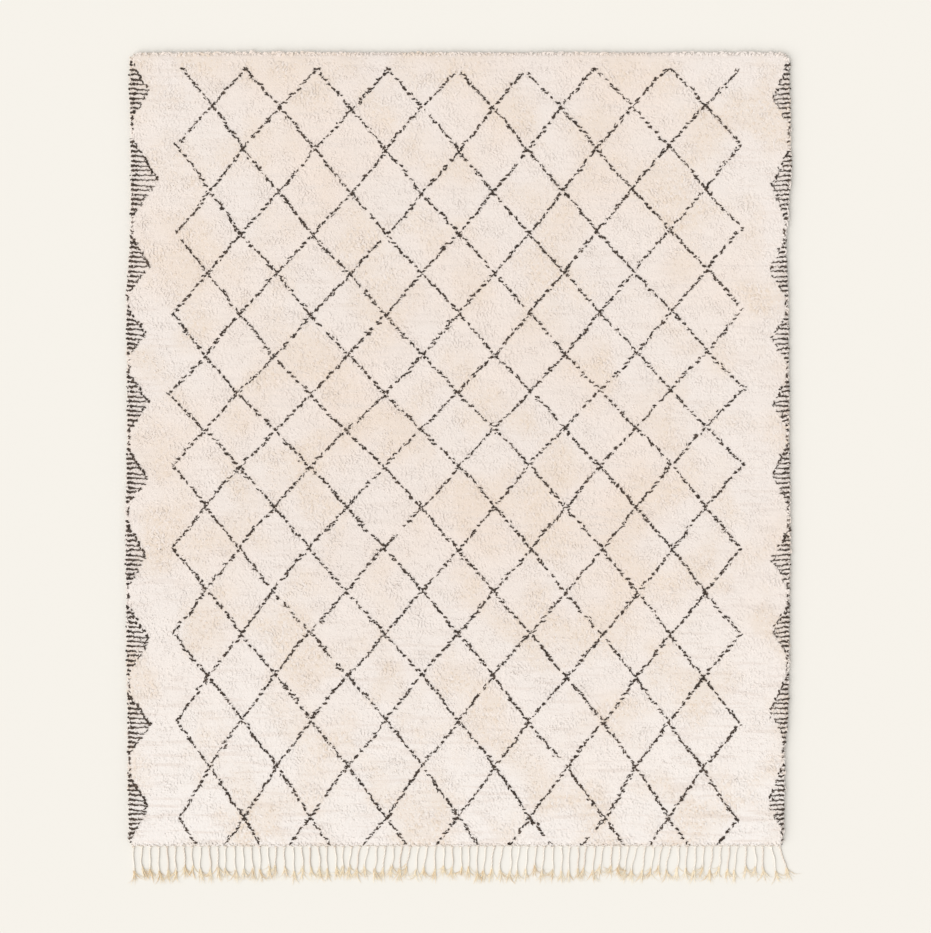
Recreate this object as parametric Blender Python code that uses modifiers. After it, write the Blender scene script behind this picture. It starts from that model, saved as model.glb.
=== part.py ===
"""A Beni Ourain rug lying flat: a thick hand-knotted body, and the warp fringe along its lower end.

Frame: +X across the rug, +Y along it, away from the fringe, +Z up. The origin is on the floor, under
the centre of the whole, fringe included. The underside of both pieces lies on z = 0.
"""

import math
import random

import bmesh
import bpy

# Driving dimensions, in metres.
WIDTH = 2.515  # across the widest place
LENGTH = 3.000  # of the knotted body, without the fringe
FRINGE_LENGTH = 0.143  # from the body to the lowest strand end
THICKNESS = 0.025  # woven ground and pile together
PILE_ROLL = 0.010  # how far the pile rolls over along the rim
PILE_ROLL_STEPS = 4
UPPER_CORNER_RADIUS = 0.030
LOWER_CORNER_RADIUS = 0.016
CORNER_STEPS = 5
SIDE_STEP = 0.075  # distance between outline points along the two sides

STRANDS = 78
STRAND_WIDTH = 0.0075
STRAND_THICKNESS = 0.0080
CORD_STEPS = 4
FRAY_LENGTH = 0.050  # the untwisted, spread end of a strand
FRAY_WIDTH = 0.018
FRAY_STEPS = 4
FRAY_CLOSING = 0.8  # 1 would close the frayed end to the cord's width, 0.5 would leave it full
STRAND_LENGTH_SPREAD = 0.020  # the shortest strand is this much shorter than the longest
STRAND_SWAY = 0.005  # how far a strand bows to one side
STRAND_STRAY = 0.003  # how far a strand's end strays from the lean of its neighbours
END_STRAND_INSET = 0.014  # from the side of the body to the first and the last strand
HEADING_DEPTH = 0.008  # the row of warp knots that the strands hang from
HEADING_INSET = 0.008
PIECE_GAP = 0.0003
SEED = 7

WELD_DISTANCE = 1e-5
STEEP = 0.5  # a face whose normal has a z part smaller than this is a wall, otherwise a cap
SHARP_ANGLE = math.radians(35)

TOP_Y = (LENGTH + FRINGE_LENGTH) / 2
BODY_END_Y = TOP_Y - LENGTH
HALF_WIDTH = WIDTH / 2

# How far each side lies inside the full width, by how far down the rug it is.
SIDE_COLUMNS = ("down", "left_inset", "right_inset")
SIDE_ROWS = (
    (0.00, 0.014, 0.008),
    (0.15, 0.019, 0.000),
    (0.20, 0.019, 0.010),
    (0.24, 0.016, 0.021),
    (0.31, 0.002, 0.011),
    (0.45, 0.006, 0.008),
    (0.62, 0.000, 0.004),
    (0.75, 0.004, 0.008),
    (0.83, 0.007, 0.011),
    (0.89, 0.008, 0.025),
    (1.00, 0.012, 0.027),
)

# How far the strands' lower ends lie to the right of their roots, by how far across the fringe they are.
LEAN_COLUMNS = ("across", "lean")
LEAN_ROWS = (
    (0.00, 0.006),
    (0.31, 0.004),
    (0.36, -0.014),
    (0.43, -0.014),
    (0.50, 0.000),
    (0.58, -0.010),
    (0.66, -0.004),
    (0.72, -0.016),
    (0.80, -0.022),
    (0.87, -0.012),
    (0.92, -0.016),
    (0.97, 0.004),
    (1.00, 0.032),
)

WOOL = (0.86, 0.77, 0.69, 1.0)
WARP = (0.88, 0.79, 0.67, 1.0)


def clear_scene():
    """Removes the startup objects."""
    for obj in list(bpy.data.objects):
        bpy.data.objects.remove(obj)


def wool_material(name, colour):
    """A matt woollen surface of one colour."""
    material = bpy.data.materials.new(name)
    material.use_nodes = True
    shader = material.node_tree.nodes["Principled BSDF"]
    shader.inputs["Base Color"].default_value = colour
    shader.inputs["Roughness"].default_value = 0.95
    shader.inputs["Metallic"].default_value = 0.0
    return material


def eased_value(rows, column, place):
    """A table's column at this place of its first column: half-cosine steps between its rows."""
    for before, after in zip(rows, rows[1:]):
        if place <= after[0]:
            share = (place - before[0]) / (after[0] - before[0])
            eased = (1 - math.cos(math.pi * share)) / 2
            return before[column] + (after[column] - before[column]) * eased
    return rows[-1][column]


def side_x(y, sign):
    """The x of the left side (sign -1) or the right side (sign 1) at this y."""
    column = SIDE_COLUMNS.index("left_inset" if sign < 0 else "right_inset")
    return sign * (HALF_WIDTH - eased_value(SIDE_ROWS, column, (TOP_Y - y) / LENGTH))


def corner_arc(end_y, sign_x, sign_y, radius):
    """A quarter circle that rounds a corner, from the side to the end of the rug."""
    centre_x = side_x(end_y, sign_x) - sign_x * radius
    centre_y = end_y - sign_y * radius
    angles = [math.pi / 2 * step / CORNER_STEPS for step in range(CORNER_STEPS + 1)]
    return [
        (centre_x + sign_x * radius * math.cos(angle), centre_y + sign_y * radius * math.sin(angle))
        for angle in angles
    ]


def body_outline():
    """The rug's outline in plan, counter-clockwise from the lower right corner."""
    straight = LENGTH - UPPER_CORNER_RADIUS - LOWER_CORNER_RADIUS
    count = round(straight / SIDE_STEP)
    heights = [BODY_END_Y + LOWER_CORNER_RADIUS + straight * k / count for k in range(1, count)]
    right = [(side_x(y, 1), y) for y in heights]
    left = [(side_x(y, -1), y) for y in reversed(heights)]
    upper_right = corner_arc(TOP_Y, 1, 1, UPPER_CORNER_RADIUS)
    upper_left = corner_arc(TOP_Y, -1, 1, UPPER_CORNER_RADIUS)[::-1]
    lower_left = corner_arc(BODY_END_Y, -1, -1, LOWER_CORNER_RADIUS)
    lower_right = corner_arc(BODY_END_Y, 1, -1, LOWER_CORNER_RADIUS)[::-1]
    return lower_right + right + upper_right + upper_left + left + lower_left


def flat_solid(name, outline, thickness):
    """A filled 2D curve extruded to this thickness, standing on z = 0."""
    curve = bpy.data.curves.new(name, "CURVE")
    curve.dimensions = "2D"
    curve.fill_mode = "BOTH"
    curve.extrude = thickness / 2
    spline = curve.splines.new("POLY")
    spline.points.add(len(outline) - 1)
    for point, (x, y) in zip(spline.points, outline):
        point.co = (x, y, 0.0, 1.0)
    spline.use_cyclic_u = True
    obj = bpy.data.objects.new(name, curve)
    obj.location = (0.0, 0.0, thickness / 2)
    return obj


def as_mesh(curve_obj, collection):
    """The curve object as a closed mesh object of the same name.

    Its caps are welded to its walls, and each cap becomes one face, so that a rim can be rounded cleanly.
    """
    collection.objects.link(curve_obj)
    bpy.context.view_layer.update()
    graph = bpy.context.evaluated_depsgraph_get()
    mesh = bpy.data.meshes.new_from_object(curve_obj.evaluated_get(graph))
    shell = bmesh.new()
    shell.from_mesh(mesh)
    bmesh.ops.remove_doubles(shell, verts=shell.verts, dist=WELD_DISTANCE)
    bmesh.ops.recalc_face_normals(shell, faces=shell.faces)
    inside_caps = [
        edge
        for edge in shell.edges
        if all(abs(face.normal.z) > STEEP for face in edge.link_faces)
    ]
    bmesh.ops.dissolve_edges(shell, edges=inside_caps)
    shell.to_mesh(mesh)
    shell.free()
    name = curve_obj.name
    placed = curve_obj.matrix_world.copy()
    bpy.data.objects.remove(curve_obj)
    obj = bpy.data.objects.new(name, mesh)
    obj.matrix_world = placed
    collection.objects.link(obj)
    return obj


def roll_over_rim(obj):
    """Rolls the upper rim over, with a Bevel that works on the edges round the top face only."""
    mesh = obj.data
    top = max(vertex.co.z for vertex in mesh.vertices)
    wall_edges = {
        key
        for face in mesh.polygons
        if abs(face.normal.z) < STEEP
        for key in face.edge_keys
    }
    weight = mesh.attributes.new("bevel_weight_edge", "FLOAT", "EDGE")
    for edge in mesh.edges:
        on_top = all(abs(mesh.vertices[v].co.z - top) < WELD_DISTANCE for v in edge.vertices)
        weight.data[edge.index].value = float(on_top and edge.key in wall_edges)
    bevel = obj.modifiers.new("pile roll", "BEVEL")
    bevel.limit_method = "WEIGHT"
    bevel.width = PILE_ROLL
    bevel.segments = PILE_ROLL_STEPS
    bevel.use_clamp_overlap = False


def rug_body(collection):
    """The knotted body: a flat slab with wavering sides, rounded corners and a soft upper rim."""
    body = as_mesh(flat_solid("rug_body", body_outline(), THICKNESS), collection)
    roll_over_rim(body)
    body.data.materials.append(wool_material("ivory wool", WOOL))
    body.data.shade_smooth()
    body.data.set_sharp_from_angle(angle=SHARP_ANGLE)
    return body


def half_width(fray_share):
    """Half a strand's width: the cord's where fray_share is 0, then a sine swell along the frayed end."""
    swell = (FRAY_WIDTH - STRAND_WIDTH) / 2
    return STRAND_WIDTH / 2 + swell * math.sin(math.pi * FRAY_CLOSING * fray_share)


def strand_outline(root_x, root_y, length, sway, lean):
    """One tooth of the comb, from its root on the left, round its end, to its root on the right.

    Its middle line drops straight down, bowed aside by half a sine wave and leaning in proportion.
    """
    cord_share = 1 - FRAY_LENGTH / length
    stations = [(cord_share * step / CORD_STEPS, 0.0) for step in range(CORD_STEPS)]
    stations += [
        (cord_share + (1 - cord_share) * step / FRAY_STEPS, step / FRAY_STEPS)
        for step in range(FRAY_STEPS + 1)
    ]
    left = []
    right = []
    for share, fray_share in stations:
        x = root_x + sway * math.sin(math.pi * share) + lean * share
        y = root_y - length * share
        left.append((x - half_width(fray_share), y))
        right.append((x + half_width(fray_share), y))
    return left + right[::-1]


def fringe_outline():
    """The comb in plan: the heading, with every strand hanging from its lower edge."""
    draw = random.Random(SEED)
    left_x = side_x(BODY_END_Y, -1)
    right_x = side_x(BODY_END_Y, 1)
    upper_y = BODY_END_Y - PIECE_GAP
    lower_y = upper_y - HEADING_DEPTH
    outline = [
        (right_x - HEADING_INSET, lower_y),
        (right_x - HEADING_INSET, upper_y),
        (left_x + HEADING_INSET, upper_y),
        (left_x + HEADING_INSET, lower_y),
    ]
    longest = lower_y + TOP_Y
    span = right_x - left_x - 2 * END_STRAND_INSET
    for number in range(STRANDS):
        across = number / (STRANDS - 1)
        shortening = draw.uniform(0.0, STRAND_LENGTH_SPREAD) if number else 0.0
        sway = draw.uniform(-STRAND_SWAY, STRAND_SWAY)
        stray = draw.uniform(-STRAND_STRAY, STRAND_STRAY)
        lean = eased_value(LEAN_ROWS, LEAN_COLUMNS.index("lean"), across) + stray
        root_x = left_x + END_STRAND_INSET + span * across
        outline += strand_outline(root_x, lower_y, longest - shortening, sway, lean)
    return outline


def fringe(collection):
    """The warp ends below the body: one comb of knotted and twisted strands."""
    comb = as_mesh(flat_solid("fringe", fringe_outline(), STRAND_THICKNESS), collection)
    comb.data.materials.append(wool_material("warp ends", WARP))
    return comb


def main():
    """Builds the rug in its own collection."""
    clear_scene()
    collection = bpy.data.collections.new("beni_ourain_rug")
    bpy.context.scene.collection.children.link(collection)
    rug_body(collection)
    fringe(collection)


main()
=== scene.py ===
"""A Beni Ourain rug lying flat, knot by knot: woven ground, ivory pile, dark pattern knots, warp fringe.

Lengths are metres in the rug's own frame: +X across, +Y away from the fringe, +Z up.
"down" is a distance from the upper end towards the fringe, and "inward" one from a side edge.
A lock is one short, tapering bundle of wool: the visible upper part of a pile knot.
"""

import math
import random

import bpy
import numpy as np
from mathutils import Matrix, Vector


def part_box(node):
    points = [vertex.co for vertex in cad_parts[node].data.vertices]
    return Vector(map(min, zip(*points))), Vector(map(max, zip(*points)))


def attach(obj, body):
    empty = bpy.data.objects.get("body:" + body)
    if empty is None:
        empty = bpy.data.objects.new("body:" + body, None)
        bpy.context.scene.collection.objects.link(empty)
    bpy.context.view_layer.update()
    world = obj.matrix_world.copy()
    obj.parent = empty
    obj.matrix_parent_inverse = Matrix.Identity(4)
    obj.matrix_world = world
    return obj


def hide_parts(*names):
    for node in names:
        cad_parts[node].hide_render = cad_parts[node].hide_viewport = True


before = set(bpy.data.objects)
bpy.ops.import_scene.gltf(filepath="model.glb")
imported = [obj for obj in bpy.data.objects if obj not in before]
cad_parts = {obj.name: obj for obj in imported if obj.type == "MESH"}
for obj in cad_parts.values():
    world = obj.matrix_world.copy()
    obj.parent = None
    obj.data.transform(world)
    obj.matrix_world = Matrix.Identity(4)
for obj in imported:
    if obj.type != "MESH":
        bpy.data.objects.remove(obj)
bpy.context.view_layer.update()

TAU = 2 * math.pi

BODY_LOW, BODY_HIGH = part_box("rug_body")
FRINGE_LOW, FRINGE_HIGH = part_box("fringe")
UPPER_Y = BODY_HIGH.y
LOWER_Y = BODY_LOW.y
LENGTH = UPPER_Y - LOWER_Y

# The cloth under the pile.
GROUND_TOP = 0.0050
GROUND_INSET = 0.002
GROUND_RIDGE = 0.0008  # how far the ridges on its back stand out
BED_TOP = 0.0198  # the close lower part of the pile, which the locks stand out of
BED_INSET = 0.004
BED_ROLL = 0.010  # how far the bed rolls over along its rim
BED_GRID = (160, 134)  # rows and columns of its points
BED_RIM_STEPS = (0.0, 0.0008, 0.0020, 0.0040, 0.0070, 0.0110)  # its first points, in from the rim
BED_LIFT = 0.002  # how far above the ground its rolled rim ends
CLOTH_GAP = 0.0003
PILE_ROLL = 0.014  # how far the pile rolls over along the rim

CREASE = math.radians(80)  # faces that meet more sharply than this keep an edge between them

# The knots.
ROW_PITCH = 0.0182
LOCK_PITCH_ACROSS = 0.0112
LOCK_PITCH_DOWN = 0.0120
LOCK_LENGTH = 0.029
LOCK_WIDTH = 0.0052
LOCK_DEPTH = 0.0008
PILE_TOP = 0.0215
PILE_BANDS = 4
ROOT_FLOOR = 0.0030  # no lock of the pile is rooted lower than this
PILE_SINK = 0.0100  # how much lower an ivory lock is rooted at the very edge
FLECK_SINK = 0.005  # how much lower a dark lock is rooted there
TIP_OVERHANG = 0.003  # how far a lock's tip may pass the edge
CLOSE_STRIP = 0.03  # from this strip along the lower end, no ivory tip passes it
SHORTEST_LOCK = 0.007
SHORTEST_RIM_LOCK = 0.006
SHORTEST_FLECK = 0.004
FLECK_DEPTH = 0.0014
FLECK_RISE = 0.0034
FLECK_ROOT_DROP = 0.0040  # from the height a dark lock lies at down to its root
RIM_LOCK_WIDTH = 0.0046
RIM_LOCK_DEPTH = 0.0018
RIM_STEP_DOWN = 0.0065  # between two rim locks along a side
RIM_STEP_ACROSS = 0.0062  # and along an end

# The lozenge lattice: how far down the rug its rows of crossings are, and how far in from the left edge
# its columns are at three depths, since they bow a little.
LATTICE_ROWS = (
    0.060, 0.204, 0.362, 0.525, 0.682, 0.832, 0.986, 1.143, 1.285, 1.423,
    1.564, 1.719, 1.877, 2.038, 2.199, 2.361, 2.530, 2.701, 2.895, 3.080,
)
LATTICE_DEPTHS = (0.06, 1.30, 2.90)
LATTICE_PEAKS = (
    (0.198, 0.162, 0.196),
    (0.448, 0.414, 0.438),
    (0.715, 0.690, 0.690),
    (0.987, 0.971, 0.976),
    (1.250, 1.254, 1.254),
    (1.510, 1.526, 1.520),
    (1.767, 1.792, 1.806),
    (2.045, 2.062, 2.050),
    (2.324, 2.330, 2.310),
)

# At these depths, how much lower the left end of a row of crossings lies than its right end, and how far
# its middle sags below its two ends.
# Columns: down, tilt, sag.
LATTICE_ROW_SHAPES = (
    (0.20, 0.000, 0.020),
    (0.60, 0.022, 0.012),
    (1.00, 0.024, 0.010),
    (1.45, 0.012, 0.008),
    (2.00, -0.010, 0.002),
    (2.50, -0.014, -0.004),
    (2.90, -0.008, -0.006),
)
CROSSING_STRAY = 0.005
LINE_BOW = 0.006
LINE_JITTER = 0.0022

# The side triangles: how far down each apex is, how far in it reaches, and how far down the next valley is.
# Columns: apex down, reach, valley down.
LEFT_TRIANGLES = (
    (0.144, 0.070, 0.280),
    (0.480, 0.100, 0.658),
    (0.806, 0.074, 0.950),
    (1.059, 0.070, 1.177),
    (1.324, 0.076, 1.468),
    (1.615, 0.078, 1.736),
    (1.910, 0.072, 2.054),
    (2.224, 0.080, 2.391),
    (2.542, 0.084, 2.690),
    (2.856, 0.072, 3.010),
)
RIGHT_TRIANGLES = (
    (0.170, 0.062, 0.318),
    (0.499, 0.068, 0.681),
    (0.821, 0.064, 0.965),
    (1.078, 0.060, 1.207),
    (1.332, 0.058, 1.445),
    (1.596, 0.062, 1.763),
    (1.922, 0.064, 2.058),
    (2.194, 0.060, 2.315),
    (2.489, 0.066, 2.644),
    (2.837, 0.058, 2.985),
)
TRIANGLE_GAP = 0.21  # the share of a triangle's half height that is left plain at its end
BAR_STEP = 0.0055
BOUND_STEP = 0.0085
SPECK_STEP = 0.011
SPECK_OVERRUN = 0.0315  # how far the specks under a triangle run on past its valley
UPPER_BOUND_WEIGHT = 1.20
LOWER_BOUND_WEIGHT = 0.62
LEFT_WEIGHT = 1.0
RIGHT_WEIGHT = 0.74

# The fringe repeats the comb of the solid: the same sizes, the same draws.
STRANDS = 78
FRAY_LENGTH = 0.050
STRAND_LENGTH_SPREAD = 0.020
STRAND_SWAY = 0.005
STRAND_STRAY = 0.003
WOBBLE = 0.0022  # the small unevenness of a strand, not in the solid
END_STRAND_INSET = 0.014
HEADING_DEPTH = 0.008
HEADING_INSET = 0.008
FRINGE_SEED = 7
LEAN_COLUMNS = ("across", "lean")
LEAN_ROWS = (
    (0.00, 0.006),
    (0.31, 0.004),
    (0.36, -0.014),
    (0.43, -0.014),
    (0.50, 0.000),
    (0.58, -0.010),
    (0.66, -0.004),
    (0.72, -0.016),
    (0.80, -0.022),
    (0.87, -0.012),
    (0.92, -0.016),
    (0.97, 0.004),
    (1.00, 0.032),
)
CORD_SIDES = 5  # corners of a ring of points round a ply
PLY_OFFSET = 0.0014  # from a cord's middle line to the middle of each of its plies
CORD_PLY_RADIUS = 0.0018
HEADING_PLY_RADIUS = 0.0017
CORD_HEIGHT = 0.0033
HEADING_HEIGHT = 0.0044
HEADING_DROP = 0.0032  # from the comb's upper edge to the middle of the heading cord
HEADING_TURNS = 150
CORD_OVERLAP = 0.006  # how far a cord runs on among its own frayed ends
FRAYS_EACH = 15
FRAY_WIDTH = 0.0011
FRAY_DEPTH = 0.0009
FRAY_OVERREACH = 0.017  # how far the longest frayed lock ends past its strand

# The stage.
KEY_FROM = (-0.80, -0.50, 1.15)  # where the broad light comes from
KEY_STRENGTH = 2.55
KEY_SOFTNESS = math.radians(75)
AMBIENT_STRENGTH = 0.62
FLOOR_SIZE = 80.0
FLOOR_GAP = 0.0005
FLOOR_COLOUR = (0.744, 0.717, 0.665, 1.0)
LENS_MM = 100.0
SENSOR_MM = 36.0
CAMERA_HEIGHT = 9.83
CAMERA_ASIDE = 0.0265
CAMERA_DOWN = 0.066  # from the body's middle towards the fringe


# ---------------------------------------------------------------- outline and fields


def side_edges():
    """The left and the right edge as (y, x) arrays, read from the foot of the rug's solid."""
    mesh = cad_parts["rug_body"].data
    places = np.zeros(len(mesh.vertices) * 3, np.float32)
    mesh.vertices.foreach_get("co", places)
    places = places.reshape(-1, 3).astype(float)
    foot = places[places[:, 2] < 1e-4]
    edges = []
    for side in (foot[foot[:, 0] < 0], foot[foot[:, 0] > 0]):
        order = np.argsort(side[:, 1])
        edges.append((side[order, 1], side[order, 0]))
    return edges


LEFT_EDGE, RIGHT_EDGE = side_edges()

# The outline's lower corners, as they would be without their rounding.
CORNER_REACH = 0.02
LEFT_END_X = float(LEFT_EDGE[1][LEFT_EDGE[0] > LOWER_Y + CORNER_REACH][0])
RIGHT_END_X = float(RIGHT_EDGE[1][RIGHT_EDGE[0] > LOWER_Y + CORNER_REACH][0])


def left_x(y):
    """The x of the left edge at y, straight between the outline's points."""
    return np.interp(y, *LEFT_EDGE)


def right_x(y):
    """The x of the right edge at y, straight between the outline's points."""
    return np.interp(y, *RIGHT_EDGE)


def edge_distance(x, y):
    """How far a place is from the nearest edge of the rug: the smallest of its four distances."""
    across = np.minimum(x - left_x(y), right_x(y) - x)
    return np.minimum(across, np.minimum(UPPER_Y - y, y - LOWER_Y))


def ripples(x, y, wavelength, seed, waves=7):
    """A smooth random field of about -1 to 1: a sum of cosine waves near one wavelength.

    Each wave has its own direction, phase and stretch, and the sum is divided by the root of their number.
    """
    draw = np.random.default_rng(seed)
    total = 0.0
    for _ in range(waves):
        angle, phase = draw.uniform(0, TAU, 2)
        step = TAU / (wavelength * draw.uniform(0.7, 1.4))
        total = total + np.cos((x * math.cos(angle) + y * math.sin(angle)) * step + phase)
    return total / math.sqrt(waves)


def outward(x, y):
    """The plan angle that points over the nearest edge of the rug."""
    gaps = np.stack([x - left_x(y), right_x(y) - x, UPPER_Y - y, y - LOWER_Y])
    return np.array([math.pi, 0.0, math.pi / 2, -math.pi / 2])[np.argmin(gaps, 0)]


def rim_drop(distance, roll=PILE_ROLL):
    """How far the pile has sunk at this distance from the edge, from 1 at the edge to 0: a quarter circle."""
    share = np.clip(distance / roll, 0, 1)
    return 1 - np.sqrt(1 - (1 - share) ** 2)


# ---------------------------------------------------------------- mesh making


def make_piece(name, points, faces, material, places=None):
    """A smooth piece from a point array and a list of face arrays, each with its own number of corners.

    places holds a spot of the square for every corner, where a map for baking is wanted.
    """
    corners = np.concatenate([group.ravel() for group in faces]).astype(np.int32)
    sizes = np.concatenate([np.full(len(group), group.shape[1]) for group in faces])
    starts = np.concatenate([[0], np.cumsum(sizes)[:-1]]).astype(np.int32)
    mesh = bpy.data.meshes.new(name)
    mesh.vertices.add(len(points))
    mesh.vertices.foreach_set("co", points.astype(np.float32).ravel())
    mesh.loops.add(len(corners))
    mesh.loops.foreach_set("vertex_index", corners)
    mesh.polygons.add(len(sizes))
    mesh.polygons.foreach_set("loop_start", starts)
    mesh.update(calc_edges=True)
    mesh.polygons.foreach_set("use_smooth", np.ones(len(sizes), bool))
    mesh.set_sharp_from_angle(angle=CREASE)
    mesh.materials.append(material)
    if places is not None:
        layer = mesh.uv_layers.new(name="OFBake")
        layer.data.foreach_set("uv", places.astype(np.float32).ravel())
    piece = bpy.data.objects.new(name, mesh)
    bpy.context.scene.collection.objects.link(piece)
    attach(piece, "root")
    return piece


def store(piece, name, values):
    """Keeps one number for each point of a piece, for its material."""
    layer = piece.data.attributes.new(name, "FLOAT", "POINT")
    layer.data.foreach_set("value", values.astype(np.float32).ravel())


def slab(x, y, upper, lower):
    """The points and faces of a closed cloth: an upper grid, a lower one, and a wall between their rims.

    Where lower is one number, the lower side is a single flat face.
    """
    rows, columns = x.shape
    count = rows * columns
    points = np.stack([x, y, upper], -1).reshape(-1, 3)
    index = np.arange(count).reshape(rows, columns)
    quads = np.stack([index[:-1, :-1], index[:-1, 1:], index[1:, 1:], index[1:, :-1]], -1).reshape(-1, 4)
    rim = np.concatenate([index[0, :-1], index[:-1, -1], index[-1, :0:-1], index[:0:-1, 0]])
    if np.ndim(lower):
        points = np.concatenate([points, np.stack([x, y, lower], -1).reshape(-1, 3)])
        foot, underside = rim + count, quads[:, ::-1] + count
    else:
        points = np.concatenate([points, np.column_stack([points[rim, :2], np.full(len(rim), lower)])])
        foot = count + np.arange(len(rim))
        underside = foot[None, ::-1]
    wall = np.stack([rim, foot, np.roll(foot, -1), np.roll(rim, -1)], -1)
    return points, [quads, underside, wall]


def graded(low, high, count, near):
    """Places from low to high: these distances in from each end, and even steps between."""
    near = np.array(near)
    middle = np.linspace(low + near[-1], high - near[-1], count)[1:-1]
    return np.concatenate([low + near, middle, (high - near)[::-1]])


def plan_grid(rows, columns, inset, near=(0.0, 0.001)):
    """Grid places over the whole rug, kept this far inside its edge, closer together along it."""
    y = graded(LOWER_Y + inset, UPPER_Y - inset, rows, near)[:, None]
    width = BODY_HIGH.x - BODY_LOW.x
    share = graded(0.0, width, columns, near)[None, :] / width
    low = left_x(y) + inset
    high = right_x(y) - inset
    return low + (high - low) * share, y + np.zeros_like(share)


def tube_faces(rings, sides, closed_ring=False):
    """The corner numbers of one tube: rings of points, one after another, with a cap on each end."""
    ring = np.arange(rings * sides).reshape(rings, sides)
    nearer, farther = (ring, np.roll(ring, -1, 0)) if closed_ring else (ring[:-1], ring[1:])
    walls = np.stack(
        [nearer, np.roll(nearer, -1, 1), np.roll(farther, -1, 1), farther], -1
    ).reshape(-1, 4)
    caps = [] if closed_ring else [ring[0, ::-1][None], ring[-1][None]]
    return [walls] + ([np.concatenate(caps)] if caps else [])


def repeated(faces, copies, points_each):
    """The same faces for each copy of a shape whose points follow one another."""
    shift = (np.arange(copies) * points_each)[:, None, None]
    return [(group[None] + shift).reshape(-1, group.shape[1]) for group in faces]


def locks(name, roots, heading, length, width, depth, rise, bend, rings, material):
    """Many tapering locks of wool in one piece.

    A lock's middle line leaves its root along its heading, turns by its bend, and rises and droops as
    its table of rings says. Across it stands a triangle: a ridge on top and two lower corners.
    rings has a row for each ring: the share along, the share of the width, and the share of the rise.
    """
    count = len(roots)
    table = np.array(rings)
    share, girth, height = table[:, 0], table[:, 1], table[:, 2]
    turn = heading[:, None] + bend[:, None] * share
    reach = length[:, None] * share
    middle = np.stack(
        [
            roots[:, :1] + reach * np.cos(turn),
            roots[:, 1:2] + reach * np.sin(turn),
            roots[:, 2:] + rise[:, None] * height,
        ],
        -1,
    )
    corner = np.radians([90, 210, 330])
    sideways = width[:, None, None] * girth[None, :, None] * np.cos(corner)
    upward = depth[:, None, None] * girth[None, :, None] * np.sin(corner)
    turned = turn[:, :, None]
    offset = np.stack([-np.sin(turned) * sideways, np.cos(turned) * sideways, upward], -1)
    body = middle[:, :-1, None, :] + offset[:, :-1]
    sides = len(corner)
    ring_count = len(table) - 1
    points = np.concatenate([body.reshape(count, -1, 3), middle[:, -1:, :]], 1)
    walls = tube_faces(ring_count, sides)[0]
    last = np.arange(sides) + (ring_count - 1) * sides
    tip = np.full(sides, ring_count * sides)
    ends = np.concatenate([[[2, 1, 0]], np.stack([last, np.roll(last, -1), tip], -1)])
    each = ring_count * sides + 1
    faces = repeated([walls, ends], count, each)
    places = lock_places(share[:-1], sides, count)
    piece = make_piece(name, points.reshape(-1, 3), faces, material, places)
    along = np.concatenate([np.repeat(share[:-1], sides), [1.0]])
    store(piece, "along", np.tile(along, count))
    across = np.concatenate([np.tile([0.0, -1.0, 1.0], ring_count), [0.0]])
    store(piece, "across", np.tile(across, count))
    return piece, each


def cells(count, columns):
    """The lower left corners of this many equal cells of the square in rows of columns, and a cell's size."""
    rows = math.ceil(count / columns)
    number = np.arange(count)
    return np.stack([(number % columns) / columns, (number // columns) / rows], -1), (1 / columns, 1 / rows)


def in_cells(groups, count, columns):
    """Spots of the square for copies of a shape: each group of its corners in turn, in a cell of its own."""
    corner, size = cells(count, columns)
    return np.concatenate(
        [(corner[:, None] + np.array(size) * (0.03 + 0.94 * group)).reshape(-1, 2) for group in groups]
    )


def lock_places(share, sides, count):
    """Where a lock's corners lie in its cell: around to the right, along upwards, its root face below."""
    height = 0.1 + 0.8 * share
    walls = [
        [(k / sides, low), ((k + 1) / sides, low), ((k + 1) / sides, high), (k / sides, high)]
        for low, high in zip(height, height[1:])
        for k in range(sides)
    ]
    root = [[(0.1, 0.0), (0.4, 0.0), (0.25, 0.07)]]
    tips = [
        [(k / sides, height[-1]), ((k + 1) / sides, height[-1]), ((k + 0.5) / sides, 1.0)]
        for k in range(sides)
    ]
    groups = [np.array(group).reshape(-1, 2) for group in (walls, root + tips)]
    return in_cells(groups, count, math.ceil(math.sqrt(count)))


def tube_places(rings, sides, count, closed_ring=False):
    """Where a tube's corners lie in its strip: along to the right, around upwards, its caps at the end."""
    steps = rings if closed_ring else rings - 1
    square = ((0, 0), (0, 1), (1, 1), (1, 0))
    spots = [
        [((i + along) / steps, (k + around) / sides) for along, around in square]
        for i in range(steps)
        for k in range(sides)
    ]
    groups = [np.array(spots).reshape(-1, 2) * (0.95, 1.0)]
    if not closed_ring:
        angle = np.arange(sides) * TAU / sides
        cap = np.stack([0.975 + 0.02 * np.cos(angle), 0.25 + 0.2 * np.sin(angle)], -1)
        groups.append(np.concatenate([cap[::-1], cap + (0.0, 0.5)]))
    return in_cells(groups, count, 1)


# ---------------------------------------------------------------- materials


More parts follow.
